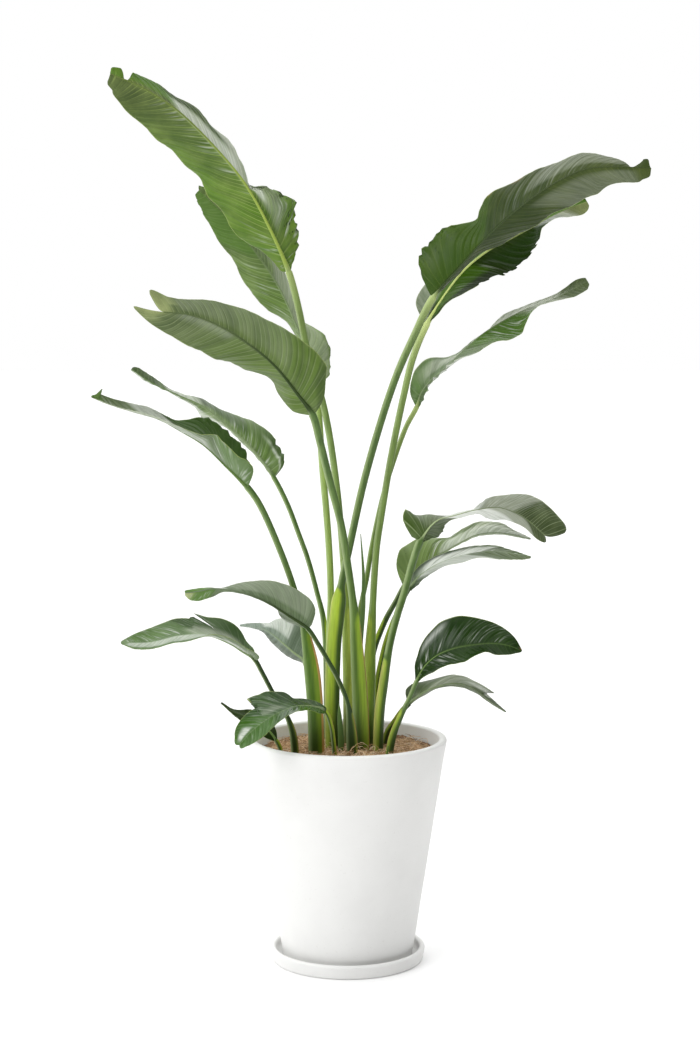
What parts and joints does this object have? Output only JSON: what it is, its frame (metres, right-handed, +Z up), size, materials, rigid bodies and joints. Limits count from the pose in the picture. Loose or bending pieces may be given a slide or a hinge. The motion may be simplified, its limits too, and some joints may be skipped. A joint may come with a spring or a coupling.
{
  "type": "potted giant white bird of paradise",
  "caption": "Indoor plant with long-stalked paddle leaves fanned to both sides, in a tapered round white pot on a saucer, with coir over the soil.",
  "frame": {"origin": "centre of the saucer's underside, where it meets the floor", "axes": "+Z up; +X to the viewer's right, along which the leaves fan out; the viewer looks along +Y"},
  "size_m": [0.9292, 0.5007, 1.5402],
  "materials": {
    "pot": "matte white",
    "saucer": "matte white",
    "soil": "damp and dark",
    "coir": "loose tangled fibre",
    "leaf": "waxy, half gloss",
    "shoot": "waxy, half gloss"
  },
  "bodies": {
    "root": {"pot": "pot", "saucer": "saucer", "soil": "soil", "coir_mulch": "coir", "leaf_left_top": "leaf", "leaf_left_top_behind": "leaf", "leaf_left_centre": "leaf", "leaf_left_middle_behind": "leaf", "leaf_left_middle": "leaf", "leaf_left_low_front": "leaf", "leaf_left_low_behind": "leaf", "leaf_left_over_rim": "leaf", "leaf_left_small": "leaf", "leaf_left_inner": "leaf", "leaf_right_top": "leaf", "leaf_right_top_behind": "leaf", "leaf_right_twisted": "leaf", "leaf_right_middle_front": "leaf", "leaf_right_middle": "leaf", "leaf_right_pale": "leaf", "leaf_right_glossy": "leaf", "leaf_right_low": "leaf", "rolled_new_leaf": "shoot", "young_shoot_left": "shoot", "young_shoot_right": "shoot"}
  },
  "joints": []
}
